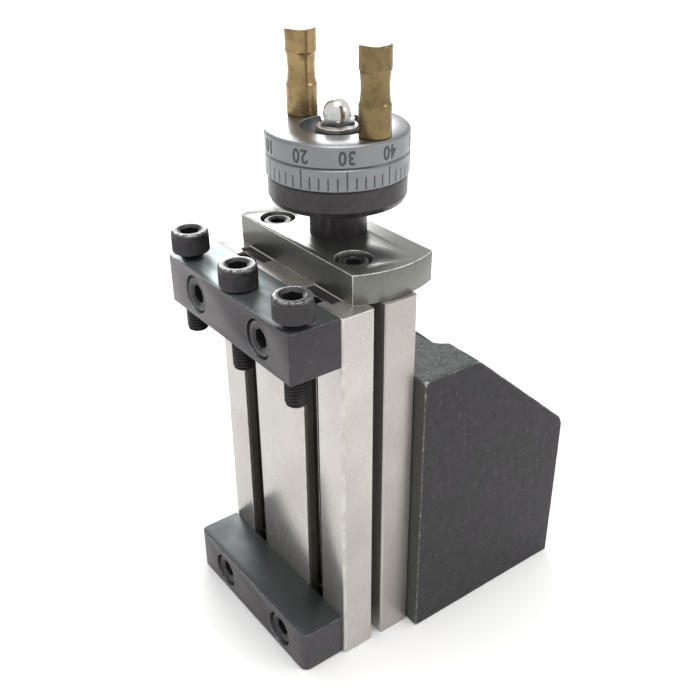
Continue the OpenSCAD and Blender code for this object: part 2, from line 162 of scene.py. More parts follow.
class Tap:
    def __init__(self, paint, socket):
        self.paint = paint
        self.socket = socket

    def math(self, operation, first, second):
        return self.paint.add("ShaderNodeMath", {"operation": operation}, {0: first, 1: second})

    def __add__(self, other):
        return self.math("ADD", self, other)

    def __radd__(self, other):
        return self.math("ADD", other, self)

    def __sub__(self, other):
        return self.math("SUBTRACT", self, other)

    def __rsub__(self, other):
        return self.math("SUBTRACT", other, self)

    def __mul__(self, other):
        return self.math("MULTIPLY", self, other)

    def __rmul__(self, other):
        return self.math("MULTIPLY", other, self)


class Paint:
    def __init__(self, name, color, metal, rough, **more):
        self.material = bpy.data.materials.new(name)
        self.material.use_nodes = True
        self.tree = self.material.node_tree
        self.shader = self.tree.nodes["Principled BSDF"]
        self.feed(**{"Base Color": color, "Metallic": metal, "Roughness": rough})
        self.feed(**more)

    def feed(self, **sockets):
        for key, value in sockets.items():
            self.plug(self.shader.inputs[key], value)

    def plug(self, socket, value):
        if isinstance(value, Tap):
            self.tree.links.new(value.socket, socket)
        else:
            socket.default_value = value

    def add(self, kind, settings, sockets, out=0):
        node = self.tree.nodes.new(kind)
        for key, value in settings.items():
            setattr(node, key, value)
        for key, value in sockets.items():
            self.plug(node.inputs[key], value)
        return Tap(self, node.outputs[out])

    # noise from 0 to 1; grain is the size of its lumps in metres, one number or one each for X, Y and Z
    def noise(self, grain, detail=2.0, roughness=0.5):
        place = self.add("ShaderNodeTexCoord", {}, {}, "Object")
        size = grain if isinstance(grain, tuple) else (grain, grain, grain)
        fitted = self.add("ShaderNodeMapping", {}, {"Vector": place, "Scale": tuple(1 / s for s in size)})
        wave = {"Vector": fitted, "Scale": 1.0, "Detail": detail, "Roughness": roughness}
        return self.add("ShaderNodeTexNoise", {}, wave)

    # how far a point of the piece lies along one axis, in metres
    def distance(self, axis):
        place = self.add("ShaderNodeTexCoord", {}, {}, "Object")
        return self.add("ShaderNodeSeparateXYZ", {}, {"Vector": place}, axis)

    # a value stretched so that low becomes 0 and high becomes 1, then held between them
    def stretch(self, value, low, high):
        return self.add("ShaderNodeMapRange", {"clamp": True},
                        {"Value": value, "From Min": low, "From Max": high})

    def mix(self, share, first, second):
        return self.add("ShaderNodeMix", {"data_type": "RGBA"}, {0: share, 6: first, 7: second}, 2)

    def bump(self, height, depth):
        return self.add("ShaderNodeBump", {}, {"Height": height, "Distance": depth, "Strength": 1.0})

    def attribute(self, name):
        return self.add("ShaderNodeAttribute", {"attribute_name": name}, {}, "Fac")


def scaled(color, factor, extra=0.0):
    # a colour made lighter or darker, held at full brightness
    return tuple(min(1, c * factor + extra) for c in color[:3]) + (1,)


def groundSteel(name, light, dark, rough, lines=(0.3 * mm, 0.3 * mm, 6 * mm)):
    # ground face: fine specks, long faint grinding lines, cloudy handling marks
    paint = Paint(name, light, 0.85, rough)
    speck = paint.stretch(paint.noise(0.42 * mm, 3.0, 0.6), 0.56, 0.72)
    pits = paint.stretch(paint.noise(0.9 * mm, 4.0, 0.65), 0.62, 0.7)
    cloud = paint.stretch(paint.noise(14 * mm, 3.0), 0.35, 0.7)
    grind = paint.noise(lines, 3.0)
    tone = paint.mix(cloud * 0.5, light, dark)
    tone = paint.mix(speck * 0.25, tone, scaled(light, 1.5))
    tone = paint.mix(pits * 0.4, tone, (dark[0] * 0.55, dark[1] * 0.52, dark[2] * 0.48, 1))
    height = grind * 0.6 + speck * 0.4 - pits * 0.8
    paint.feed(**{"Base Color": tone, "Roughness": rough + cloud * 0.1 + grind * 0.12,
                  "Normal": paint.bump(height, 0.012 * mm)})
    return paint.material


def wornEdge(name, bright, dark, chip=1.4 * mm):
    # rounded edge where the finish has worn through in patches
    paint = Paint(name, bright, 0.9, 0.33)
    patch = paint.stretch(paint.noise(chip, 4.0, 0.7), 0.42, 0.56)
    paint.feed(**{"Base Color": paint.mix(patch, dark, bright), "Roughness": 0.45 - patch * 0.15,
                  "Normal": paint.bump(paint.noise(0.4 * mm, 2.0), 0.01 * mm)})
    return paint.material


def turnedMetal(name, color, dark, metal, rough, pitch=0.12 * mm, depth=0.006 * mm, blotch=0.5):
    # turned on a lathe: fine rings stacked along Z, with stains
    paint = Paint(name, color, metal, rough)
    rings = paint.noise((30 * mm, 30 * mm, pitch), 2.0)
    stain = paint.stretch(paint.noise(2.6 * mm, 4.0, 0.65), 0.42, 0.7)
    tone = paint.mix(stain * blotch, color, dark)
    paint.feed(**{"Base Color": tone, "Roughness": rough + stain * 0.12 + rings * 0.08,
                  "Normal": paint.bump(rings, depth)})
    return paint.material


# a form is (points, quads, triangles), as numpy arrays

def gridQuads(rows, columns, loop):
    # quads between neighbouring rings; the last ring meets the first when loop is set
    i = np.arange(rows if loop else rows - 1)[:, None]
    j = np.arange(columns)[None, :]
    nextJ = (j + 1) % columns
    up = ((i + 1) % rows) * columns
    return np.stack([i * columns + j, i * columns + nextJ, up + nextJ, up + j], -1).reshape(-1, 4)


def turned(rings, columns, carve=None, loop=False):
    # ring i, angle a: radius = r_i times 1, or times 1/cos(a folded into one side) where it is a hexagon,
    # less what carve(a, z, r) takes; x = radius cos a, y = radius sin a, z = z_i. Ends close on the axis.
    rings = np.array(rings, float)
    r, z, hexagon = rings[:, 0:1], rings[:, 1:2], rings[:, 2:3]
    a = 2 * math.pi * np.arange(columns)[None, :] / columns
    folded = (a + math.pi / 6) % (math.pi / 3) - math.pi / 6
    radius = r * (1 + hexagon * (1 / np.cos(folded) - 1))
    if carve:
        radius = radius - carve(a, z, r)
    points = np.stack([radius * np.cos(a), radius * np.sin(a), z + 0 * a], -1).reshape(-1, 3)
    quads = gridQuads(len(rings), columns, loop)
    if loop:
        return points, quads, np.zeros((0, 3), int)
    ring = np.arange(columns)
    last = (len(rings) - 1) * columns
    count = len(points)
    points = np.vstack([points, [[0, 0, rings[0, 1]], [0, 0, rings[-1, 1]]]])
    low = np.stack([ring * 0 + count, (ring + 1) % columns, ring], -1)
    high = np.stack([ring * 0 + count + 1, last + ring, last + (ring + 1) % columns], -1)
    return points, quads, np.vstack([low, high])


def along(*stops):
    # profile points with straight runs between them: each stop is (r, z, hexagon, steps up to it)
    rows = [stops[0][:3]]
    for before, after in zip(stops, stops[1:]):
        share = np.linspace(0, 1, after[3] + 1)[1:, None]
        rows += list(np.array(before[:3]) * (1 - share) + np.array(after[:3]) * share)
    return np.array(rows, float)


def curve(r, z, radius, start, end, steps):
    # arc of a profile: centre (r, z), angles in degrees
    a = np.radians(np.linspace(start, end, steps + 1))
    return np.stack([r + radius * np.cos(a), z + radius * np.sin(a), 0 * a], -1)


def rising(values, start, span):
    # 0 up to start, then straight up to 1 over the span
    return np.clip((values - start) / span, 0, 1)


def falling(values, end, span):
    # straight down from 1 over the span, 0 from end on
    return np.clip((end - values) / span, 0, 1)


def joined(*forms):
    # several forms as one
    points, quads, tris, count = [], [], [], 0
    for form in forms:
        points.append(form[0])
        quads.append(form[1] + count)
        tris.append(form[2] + count)
        count += len(form[0])
    return np.vstack(points), np.vstack(quads), np.vstack(tris)


def placed(form, place, facing="up"):
    # turns the form's +Z to face up or to the front (-Y), then moves it
    x, y, z = form[0].T
    facingPoints = {"up": (x, y, z), "front": (x, -z, y)}[facing]
    return np.stack(facingPoints, -1) + np.array(place), form[1], form[2]


def meshOf(name, form):
    # a form as a mesh
    points, quads, tris = form
    mesh = bpy.data.meshes.new(name)
    mesh.vertices.add(len(points))
    mesh.vertices.foreach_set("co", points.astype(np.float32).ravel())
    corners = np.concatenate([quads.ravel(), tris.ravel()]).astype(np.int32)
    starts = np.concatenate([np.arange(len(quads)) * 4, len(quads) * 4 + np.arange(len(tris)) * 3])
    mesh.loops.add(len(corners))
    mesh.loops.foreach_set("vertex_index", corners)
    mesh.polygons.add(len(starts))
    mesh.polygons.foreach_set("loop_start", starts.astype(np.int32))
    mesh.update(calc_edges=True)
    return mesh


def finished(name, mesh, node, materials, sharp=None):
    # makes the piece on the body of the CAD node that it stands for, with the given materials, and hides that
    # node; edges steeper than sharp, in degrees, stay crisp
    for material in materials:
        mesh.materials.append(material)
    mesh.shade_smooth()
    if sharp:
        mesh.set_sharp_from_angle(angle=math.radians(sharp))
    piece = bpy.data.objects.new(name, mesh)
    scene.collection.objects.link(piece)
    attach(piece, frame["nodes"][node]["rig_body"])
    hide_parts(node)
    return piece


def spot(node):
    # middle, lowest and highest corner of a CAD node, as arrays
    low, high = (np.array(corner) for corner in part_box(node))
    return (low + high) / 2, low, high


softening = {
    "merge": 0.002 * mm,
    "flat": 1.0,           # degrees between faces that count as one flat
    "corner": 28,          # degrees from which an edge is rounded
    "segments": 2,
}


def cadCopy(node):
    # the CAD node's mesh with its doubles merged and its flat faces whole
    mesh = frame["nodes"][node].data.copy()
    mesh.name = node
    mesh.materials.clear()
    work = bmesh.new()
    work.from_mesh(mesh)
    bmesh.ops.remove_doubles(work, verts=work.verts, dist=softening["merge"])
    flat = math.radians(softening["flat"])
    bmesh.ops.dissolve_limit(work, angle_limit=flat, verts=work.verts, edges=work.edges)
    bmesh.ops.recalc_face_normals(work, faces=work.faces)
    work.to_mesh(mesh)
    work.free()
    return mesh


def softened(node, materials, width):
    # a machined block: its edges are broken by a narrow round that takes the second material
    mesh = cadCopy(node)
    mesh.polygons.foreach_set("material_index", np.zeros(len(mesh.polygons), np.int32))
    piece = finished(node + "_finished", mesh, node, materials)
    bevel = piece.modifiers.new("edges", "BEVEL")
    bevel.limit_method = "ANGLE"
    bevel.angle_limit = math.radians(softening["corner"])
    bevel.width = width
    bevel.segments = softening["segments"]
    bevel.use_clamp_overlap = True
    bevel.harden_normals = True
    if len(materials) > 1:
        bevel.material = 1
    return piece


addCamera()
addStudio()
print("camera and studio")


# ground table, base and gib

steel = {
    "light": (0.52, 0.49, 0.465, 1),
    "dark": (0.4, 0.375, 0.35, 1),
    "speck": (0.86, 0.84, 0.8, 1),
    "pit": (0.22, 0.19, 0.15, 1),
    "slotShade": (0.075, 0.062, 0.042, 1),
    "rough": 0.18,
    # where the painted shade in the recesses starts and is full: behind the front, from the middle, and down
    # from the top
    "shadeBehind": (0.5 * mm, 0.9 * mm),
    "shadeWithin": (24.6 * mm, 24.2 * mm),
    "shadeUnder": (93.2 * mm, 92.9 * mm),
    "baseLight": (0.46, 0.43, 0.405, 1),
    "baseDark": (0.35, 0.325, 0.3, 1),
    "edge": 0.22 * mm,
    "gibEdge": 0.1 * mm,
}


def tableSteel():
    # ground faces; where the surface lies behind the table's front skin, in the slots and recesses, painted
    # shade on a darker, rougher finish
    paint = Paint("groundTable", steel["light"], 0.85, steel["rough"])
    speck = paint.stretch(paint.noise(0.5 * mm, 3.0, 0.6), 0.55, 0.72)
    pits = paint.stretch(paint.noise(1.0 * mm, 4.0, 0.65), 0.62, 0.7)
    cloud = paint.stretch(paint.noise(14 * mm, 3.0), 0.35, 0.7)
    grind = paint.noise((0.3 * mm, 0.3 * mm, 6 * mm), 3.0)
    front = spot("slide_table")[1][1]
    fromBehind, toBehind = steel["shadeBehind"]
    behind = paint.stretch(paint.distance("Y"), front + fromBehind, front + toBehind)
    aside = paint.add("ShaderNodeMath", {"operation": "ABSOLUTE"}, {0: paint.distance("X")})
    within = paint.stretch(aside, *steel["shadeWithin"])
    under = paint.stretch(paint.distance("Z"), *steel["shadeUnder"])
    # painted shade in the slots and recesses behind the table's front skin, on a darker, rougher finish
    recessShade = behind * within * under * (0.78 + cloud * 0.2)
    tone = paint.mix(cloud * 0.5, steel["light"], steel["dark"])
    tone = paint.mix(speck * 0.32, tone, steel["speck"])
    tone = paint.mix(pits * 0.45, tone, steel["pit"])
    tone = paint.mix(recessShade, tone, steel["slotShade"])
    height = grind * 0.6 + speck * 0.4 - pits * 0.3
    rough = steel["rough"] + cloud * 0.08 + grind * 0.12 + recessShade * 0.15
    paint.feed(**{"Base Color": tone, "Roughness": rough, "Metallic": 0.85 - recessShade * 0.45,
                  "Normal": paint.bump(height, 0.009 * mm)})
    return paint.material


steelEdge = wornEdge("steelEdge", (0.6, 0.58, 0.55, 1), (0.5, 0.475, 0.45, 1), 5 * mm)
softened("slide_table", [tableSteel(), steelEdge], steel["edge"])
baseSteel = groundSteel("groundBase", steel["baseLight"], steel["baseDark"], 0.3)
softened("dovetail_base", [baseSteel, steelEdge], steel["edge"])
softened("gib_strip", [baseSteel, steelEdge], steel["gibEdge"])
print("table and base")


# cast bracket

casting = {
    "paint": (0.021, 0.0172, 0.0215, 1),
    "drift": (0.0175, 0.0192, 0.0195, 1),
    "blotch": (0.036, 0.0295, 0.0365, 1),
    "pore": (0.008, 0.008, 0.009, 1),
    "front": (0.066, 0.066, 0.054, 1),
    "dust": (0.07, 0.088, 0.082, 1),
    "spot": (0.1, 0.098, 0.104, 1),
    "rubbedEdge": (0.17, 0.175, 0.165, 1),
    "chip": (0.45, 0.46, 0.43, 1),
    "voxel": 0.56 * mm,
    "lump": 0.07 * mm,
    "longestLump": 9 * mm,
    "waveCount": 22,
    "seed": 4,
    "steepest": 0.22,      # fall to the neighbours at which an edge counts as fully proud
    "machined": 1 * mm,    # depth of the flat skins at the front and the foot
    "upward": (0.9, 0.08),     # tilt of a face's normal: where the dusty top starts, and over what span
    "forward": (0.8, 0.1),     # the same for the front
}


def castPaint():
    # sand-cast skin under thin black paint: lumps, pores, dusty top, chips on the proud edges
    paint = Paint("castPaint", casting["paint"], 0.05, 0.5, **{"Specular IOR Level": 0.32})
    lumps = paint.noise(1.3 * mm, 4.0, 0.62)
    fine = paint.noise(0.4 * mm, 3.0, 0.6)
    drift = paint.stretch(paint.noise(17 * mm, 2.0), 0.35, 0.65)
    blotch = paint.stretch(paint.noise(2.4 * mm, 4.0, 0.7), 0.42, 0.68)
    pores = paint.stretch(paint.noise(1.0 * mm, 3.0, 0.6), 0.6, 0.68)
    spots = paint.stretch(paint.noise(1.7 * mm, 4.0, 0.62), 0.62, 0.69)
    edge = paint.attribute("edge")
    chips = paint.stretch(edge + (paint.noise(1.6 * mm, 4.0, 0.7) - 0.5) * 1.3, 0.55, 0.9)
    grit = paint.stretch(paint.noise(0.55 * mm, 3.0, 0.7), 0.4, 0.62)
    tone = paint.mix(drift, casting["paint"], casting["drift"])
    tone = paint.mix(blotch * 0.55, tone, casting["blotch"])
    tone = paint.mix(pores * 0.5, tone, casting["pore"])
    tone = paint.mix(paint.attribute("front") * 0.8, tone, casting["front"])
    tone = paint.mix(paint.attribute("upward") * grit, tone, casting["dust"])
    tone = paint.mix(spots * 0.4, tone, casting["spot"])
    tone = paint.mix(paint.stretch(edge, 0.25, 0.9) * 0.45, tone, casting["rubbedEdge"])
    tone = paint.mix(chips * 0.8, tone, casting["chip"])
    paint.feed(**{"Base Color": tone, "Roughness": 0.46 + fine * 0.16 + pores * 0.12 - chips * 0.15,
                  "Metallic": 0.05 + chips * 0.7,
                  "Normal": paint.bump(lumps * 0.6 + fine * 0.4 - pores * 0.25, 0.2 * mm)})
    return paint.material


def waves(points, longest, count, seed):
    # lumpy field from -1 to 1: a sum of plane waves with seeded directions, each shorter and weaker
    dice = np.random.default_rng(seed)
    total = np.zeros(len(points))
    weight = 0
    for step in range(count):
        length = longest * 0.72 ** (step / 2)
        way = dice.normal(size=3)
        way /= np.linalg.norm(way)
        share = 0.8 ** (step / 2)
        total += share * np.sin(2 * math.pi * (points @ way) / length + dice.uniform(0, 2 * math.pi))
        weight += share
    return total / weight * 2


def proudEdges(mesh, points, normals):
    # how far each neighbour lies below the vertex's own tangent plane, averaged over it and its neighbours
    # twice, as a share of the steepest
    ends = np.zeros(len(mesh.edges) * 2, np.int32)
    mesh.edges.foreach_get("vertices", ends)
    a, b = ends.reshape(-1, 2).T
    drop = np.zeros(len(points))
    links = np.zeros(len(points))
    across = points[b] - points[a]
    length = np.linalg.norm(across, axis=1) + 1e-9
    np.add.at(drop, a, -(across * normals[a]).sum(1) / length)
    np.add.at(drop, b, (across * normals[b]).sum(1) / length)
    np.add.at(links, a, 1)
    np.add.at(links, b, 1)
    drop /= np.maximum(links, 1)
    for _ in range(2):
        spread = drop.copy()
        np.add.at(spread, a, drop[b])
        np.add.at(spread, b, drop[a])
        drop = spread / (links + 1)
    return np.clip(drop / casting["steepest"], 0, 1)


def castBracket():
    # the CAD shape remeshed finely, then each point moved along its normal by the lumpy field
    body = bpy.data.objects.new("angle_bracket_rough", cadCopy("angle_bracket"))
    scene.collection.objects.link(body)
    remesh = body.modifiers.new("skin", "REMESH")
    remesh.mode = "VOXEL"
    remesh.voxel_size = casting["voxel"]
    relax = body.modifiers.new("relax", "SMOOTH")
    relax.factor = 0.5
    relax.iterations = 2
    mesh = bpy.data.meshes.new_from_object(body.evaluated_get(bpy.context.evaluated_depsgraph_get()))
    bpy.data.objects.remove(body)
    points = np.zeros(len(mesh.vertices) * 3, np.float32)
    normals = np.zeros(len(mesh.vertices) * 3, np.float32)
    mesh.vertices.foreach_get("co", points)
    mesh.vertex_normals.foreach_get("vector", normals)
    points = points.reshape(-1, 3).astype(float)
    normals = normals.reshape(-1, 3).astype(float)
    edge = proudEdges(mesh, points, normals)
    low, high = spot("angle_bracket")[1:]
    # the machined front and foot stay flat, the cast faces are lumpy
    skin = casting["machined"]
    facingFront = normals[:, 1] < -casting["forward"][0]
    flat = facingFront & (points[:, 1] < low[1] + skin) | (points[:, 2] < skin)
    lumps = waves(points, casting["longestLump"], casting["waveCount"], casting["seed"]) * casting["lump"]
    points += normals * (np.where(flat, 0, lumps) - casting["lump"])[:, None]
    points = np.clip(points, low, high)
    mesh.vertices.foreach_set("co", points.astype(np.float32).ravel())
    upward = rising(normals[:, 2], *casting["upward"])
    front = rising(-normals[:, 1], *casting["forward"])
    for name, values in (("edge", edge), ("upward", upward), ("front", front)):
        mesh.attributes.new(name, "FLOAT", "POINT").data.foreach_set("value", values.astype(np.float32))
    mesh.materials.clear()
    mesh.update()
    finished("bracket_casting", mesh, "angle_bracket", [castPaint()])


castBracket()
print("bracket")


# screws

capScrew = {
    "columns": 192,
    "head": 0.85,          # radii and heights as shares of the thread's diameter
    "socket": 0.4,
    "socketFloor": 0.45,
    "rim": 0.16,
    "knurl": (0.08, 0.78),
    "teeth": 48,
    "toothDepth": 0.026,
    "threadColumns": 48,
    "ringsPerTurn": 8,
    "threadDepth": 0.61,   # of the pitch
    "wornRing": (0.74, 0.07, 0.9),   # radius, width and lowest height of the rubbed ring, of the diameter
    "pitch": {5: 0.8 * mm, 4: 0.7 * mm},
    "black": (0.043, 0.04, 0.043, 1),
    "rubbed": (0.34, 0.34, 0.33, 1),
}


def screwSteel():
    # black oxide, rubbed bright in patches where the "worn" attribute is set
    color = capScrew["black"]
    rough = 0.38
    paint = Paint("blackScrew", color, 0.75, rough)
    cloud = paint.stretch(paint.noise(5 * mm, 3.0), 0.3, 0.75)
    fine = paint.noise(0.35 * mm, 3.0, 0.6)
    rub = paint.attribute("worn") * paint.stretch(paint.noise(0.9 * mm, 3.0, 0.6), 0.36, 0.56)
    tone = paint.mix(cloud * 0.6, color, scaled(color, 1.4))
    tone = paint.mix(rub, tone, capScrew["rubbed"])
    paint.feed(**{"Base Color": tone, "Roughness": rough + cloud * 0.08 - rub * 0.08,
                  "Normal": paint.bump(fine, 0.006 * mm)})
    return paint.material


screwSkin = screwSteel()
screwRub = wornEdge("screwRub", (0.55, 0.54, 0.53, 1), (0.06, 0.058, 0.06, 1), 0.9 * mm)


def capHead(d):
    # head of a socket head cap screw, standing on z = 0: knurled side, rounded rim, hexagonal socket
    r, socket, rim = (capScrew[part] * d for part in ("head", "socket", "rim"))
    floor = capScrew["socketFloor"] * d
    knurlLow, knurlHigh = (share * d for share in capScrew["knurl"])
    fade = 0.05 * d

    def knurl(a, z, ring):
        # rows of teeth: a wave round the head, faded out at both ends of the side
        side = rising(z, knurlLow, fade) * falling(z, knurlHigh, fade)
        tooth = (0.5 + 0.5 * np.cos(capScrew["teeth"] * a)) ** 0.7
        return capScrew["toothDepth"] * d * side * (ring > r - 0.01 * d) * tooth

    rings = np.vstack([
        along((0.3 * d, 0, 0, 1), (r - 0.03 * d, 0, 0, 2), (r, 0.03 * d, 0, 1), (r, 0.82 * d, 0, 26)),
        curve(r - rim, d - rim, rim, 0, 90, 8),
        along((r - rim, d, 0, 1), (socket + 0.17 * d, d, 0, 3), (socket + 0.14 * d, 0.985 * d, 0, 1),
              (socket, 0.9 * d, 1, 5), (socket, floor, 1, 6), (0.12 * d, floor - 0.06 * d, 0, 4)),
    ])
    return turned(rings, capScrew["columns"], knurl)


def threadRod(d, top, bottom, pitch, depth):
    # threaded rod from bottom up to top: the radius falls by a rounded triangle wave of z / pitch - a / 2 pi
    turns = (top - bottom) / pitch
    rings = int(turns * capScrew["ringsPerTurn"])

    def groove(a, z, ring):
        phase = (z / pitch - a / (2 * math.pi)) % 1
        valley = np.clip(np.abs(phase * 2 - 1) * 1.3 - 0.15, 0, 1)
        ends = falling(z, top, pitch) * rising(z, bottom, 0.6 * pitch)
        return valley * depth * pitch * ends * (ring > 0.45 * d)

    return turned(along((0.5 * d - 0.5 * pitch, bottom, 0, 1), (0.5 * d, bottom + 0.5 * pitch, 0, 3),
                        (0.5 * d, top, 0, rings)), capScrew["threadColumns"], groove)


def capScrews(name, node, d, places, length, facing, rubbed):
    # one piece for all the screws of a node: a head and a threaded rod at each place
    pitch = capScrew["pitch"][round(d / mm)]
    one = joined(capHead(d), threadRod(d, 0.1 * d, -length, pitch, capScrew["threadDepth"]))
    x, y, z = one[0].T / d
    # a bright ring round the head's top edge: a bell curve of the radius
    at, wide, above = capScrew["wornRing"]
    worn = rubbed * np.exp(-((np.hypot(x, y) - at) / wide) ** 2) * (z > above)
    mesh = meshOf(name, joined(*(placed(one, place, facing) for place in places)))
    worn = np.tile(worn, len(places)).astype(np.float32)
    mesh.attributes.new("worn", "FLOAT", "POINT").data.foreach_set("value", worn)
    finished(name, mesh, node, [screwSkin], sharp=38)


# clamp screws: one piece each, upright, head height equal to the diameter
m5 = 5 * mm
m4 = 4 * mm
for which in ("far", "middle", "near"):
    mid, low, high = spot("clamp_screw_" + which)
    capScrews("cap_screw_" + which, "clamp_screw_" + which, m5, [(mid[0], mid[1], high[2] - m5)],
              high[2] - m5 - low[2], "up", 1.0)


def pairAlongX(node, d):
    # the two screws of a node lie at its ends: centres one head radius in
    mid, low, high = spot(node)
    inwards = capScrew["head"] * d
    return mid, low, high, [low[0] + inwards, high[0] - inwards]


for name, node in (("bar_screws", "clamp_bar_screws"), ("jaw_screws", "lower_jaw_screws")):
    mid, low, high, across = pairAlongX(node, m5)
    places = [(x, low[1] + m5, mid[2]) for x in across]
    capScrews(name, node, m5, places, high[1] - low[1] - m5, "front", 0.3)
mid, low, high, across = pairAlongX("end_plate_screws", m4)
places = [(x, mid[1], high[2] - m4) for x in across]
capScrews("plate_screws", "end_plate_screws", m4, places, high[2] - low[2] - m4, "up", 0.4)
print("cap screws")


# clamp bar, lower jaw and end plate

bars = {
    "barTopReflection": (0.2, 0.235, 0.238, 1),
    "jawTopReflection": (0.074, 0.083, 0.086, 1),
    "front": (0.068, 0.061, 0.068, 1),
    "frontLight": (0.092, 0.082, 0.09, 1),
    "nearEndShade": (0.034, 0.029, 0.033, 1),
    "farEndReflection": (0.24, 0.222, 0.232, 1),
    "rub": (0.2, 0.21, 0.21, 1),
    "barEndShading": 0.6,
    "jawEndShading": 0.12,
    "nearShadeSpan": (-12 * mm, 26 * mm),   # along X, from none of the painted end shading to the whole of it
    "farReflectionSpan": (0, -24 * mm),
    "plate": (0.19, 0.193, 0.177, 1),
    "plateDark": (0.125, 0.125, 0.105, 1),
    "upward": (0.3, 0.6),              # tilt of a face's normal: where the painted top reflection starts, and its span
    "edge": 0.3 * mm,
    "plateEdge": 0.28 * mm,
}


def bluedSteel(name, top, fade):
    # blued bar, browner on the front; painted reflection makes the top teal and the far end paler, painted
    # shade darkens the near end
    paint = Paint(name, top, 0.75, 0.36)
    up = paint.attribute("upward")
    # painted light along X, scaled by fade: shade towards the near end, reflection towards the far end
    near = paint.stretch(paint.distance("X"), *bars["nearShadeSpan"])
    far = paint.stretch(paint.distance("X"), *bars["farReflectionSpan"])
    cloud = paint.stretch(paint.noise(7 * mm, 3.0), 0.35, 0.7)
    fine = paint.noise(0.5 * mm, 4.0, 0.6)
    rub = paint.stretch(paint.noise(2.2 * mm, 5.0, 0.7), 0.58, 0.74)
    streak = paint.noise((8 * mm, 0.35 * mm, 0.35 * mm), 3.0)
    tone = paint.mix(cloud, bars["front"], bars["frontLight"])
    # painted reflection: the far end paler
    tone = paint.mix(far * fade, tone, bars["farEndReflection"])
    # painted reflection: faces whose normal points up take the top colour
    tone = paint.mix(up, tone, top)
    # painted shade: the near end darker
    tone = paint.mix(near * fade, tone, bars["nearEndShade"])
    tone = paint.mix(rub * 0.22, tone, bars["rub"])
    paint.feed(**{"Base Color": tone, "Roughness": 0.34 + cloud * 0.1 + streak * 0.08 + up * 0.06,
                  "Normal": paint.bump(fine * 0.5 + streak * 0.5, 0.01 * mm)})
    return paint.material


def markUpward(piece):
    # the "upward" attribute of each face: the height of its normal, stretched from 0 on its side to 1 on top;
    # on the bars it places the painted top reflection
    mesh = piece.data
    normals = np.zeros(len(mesh.polygons) * 3, np.float32)
    mesh.polygons.foreach_get("normal", normals)
    upward = rising(normals.reshape(-1, 3)[:, 2], *bars["upward"])
    mesh.attributes.new("upward", "FLOAT", "FACE").data.foreach_set("value", upward.astype(np.float32))


bluedEdge = wornEdge("bluedEdge", (0.62, 0.63, 0.62, 1), (0.17, 0.18, 0.185, 1))
barSkin = bluedSteel("bluedBar", bars["barTopReflection"], bars["barEndShading"])
jawSkin = bluedSteel("bluedJaw", bars["jawTopReflection"], bars["jawEndShading"])
for node, skin in (("clamp_bar", barSkin), ("lower_jaw", jawSkin)):
    markUpward(softened(node, [skin, bluedEdge], bars["edge"]))
plateLines = (0.35 * mm, 0.35 * mm, 4 * mm)
plateSteel = groundSteel("plateSteel", bars["plate"], bars["plateDark"], 0.24, plateLines)
plateEdge = wornEdge("plateEdge", (0.75, 0.74, 0.7, 1), (0.45, 0.43, 0.38, 1))
softened("end_plate", [plateSteel, plateEdge], bars["plateEdge"])
print("bars and end plate")


# collar under the dial

collar = {
    "columns": 192,
    "neck": 6.4 * mm,
    "hole": 3.2 * mm,
    "spigot": (5.0 * mm, 1.6 * mm),    # radius, and depth below the plate's top
    "flangeHigh": 5.6 * mm,
    "ring": 0.025 * mm,
    "ringCount": 9,
    "black": (0.045, 0.041, 0.044, 1),
    "stain": (0.08, 0.074, 0.076, 1),
}


def indexCollar():
    # neck and flange as one turned wall round the hole
    mid, low, high = spot("index_collar")
    plate = spot("end_plate")[2][2]
    flange = (high[0] - low[0]) / 2
    foot = high[2] - collar["flangeHigh"]
    neck, hole = collar["neck"], collar["hole"]
    spigot, spigotDeep = collar["spigot"]
    bottom = plate - spigotDeep

    def lines(a, z, ring):
        # faint turned lines: a wave of z on the flange's side
        side = (ring > flange - 0.2 * mm) * rising(z, foot + 1.3 * mm, 0.2 * mm)
        wave = np.cos(2 * math.pi * collar["ringCount"] * (z - foot) / collar["flangeHigh"])
        return collar["ring"] * side * (0.5 + 0.5 * wave)

    profile = np.vstack([
        along((hole, bottom, 0, 1), (spigot, bottom, 0, 1), (spigot, plate, 0, 1), (neck, plate, 0, 1),
              (neck, foot - 0.5 * mm, 0, 6)),
        curve(neck + 0.5 * mm, foot - 0.5 * mm, 0.5 * mm, 180, 90, 5),
        along((neck + 0.8 * mm, foot, 0, 1), (flange - 0.8 * mm, foot, 0, 3)),
        curve(flange - 0.75 * mm, foot + 0.3 * mm, 0.3 * mm, -90, -25, 4),
        along((flange - 0.04 * mm, foot + 1.2 * mm, 0, 1), (flange, foot + 1.26 * mm, 0, 1),
              (flange, high[2] - 0.3 * mm, 0, 46), (flange - 0.2 * mm, high[2], 0, 2),
              (hole, high[2], 0, 3), (hole, bottom, 0, 2)),
    ])[:-1]
    form = placed(turned(profile, collar["columns"], lines, loop=True), (mid[0], mid[1], 0))
    skin = turnedMetal("blackCollar", collar["black"], collar["stain"], 0.7, 0.27, 0.16 * mm)
    finished("collar", meshOf("collar", form), "index_collar", [skin], sharp=30)


indexCollar()
print("collar")


# dial with graduations and numbers

dial = {
    "divisions": 50,
    "columnsEach": 24,
    "zero": -137.0,        # degrees from +X to the zero line
    "cut": 0.13 * mm,
    "cutWide": 0.26 * mm,
    "lines": (2.6 * mm, 4.0 * mm),   # plain, numbered
    "numberEvery": 5,
    "lineFoot": 0.5 * mm,
    "textHigh": 2.8 * mm,
    "textNarrow": 0.84,
    "textBold": 0.022,     # of the letter size, as are the next two
    "stripReach": 1.2,
    "stripWide": 0.12,
    "textLift": 0.012 * mm,
    "textDeep": 0.03 * mm,
    "hole": 3.3 * mm,
    "well": (8.0 * mm, 1.6 * mm),    # radius and depth of the hollow round the nut
    "boss": (4.75 * mm, 0.85 * mm),  # radius and depth of the boss in it
    "vee": 0.35 * mm,      # half height and depth of the groove between the two bands
    "satin": (0.225, 0.232, 0.24, 1),
    "lineInk": (0.045, 0.045, 0.047, 1),
    "numberInk": (0.05, 0.05, 0.051, 1),
}


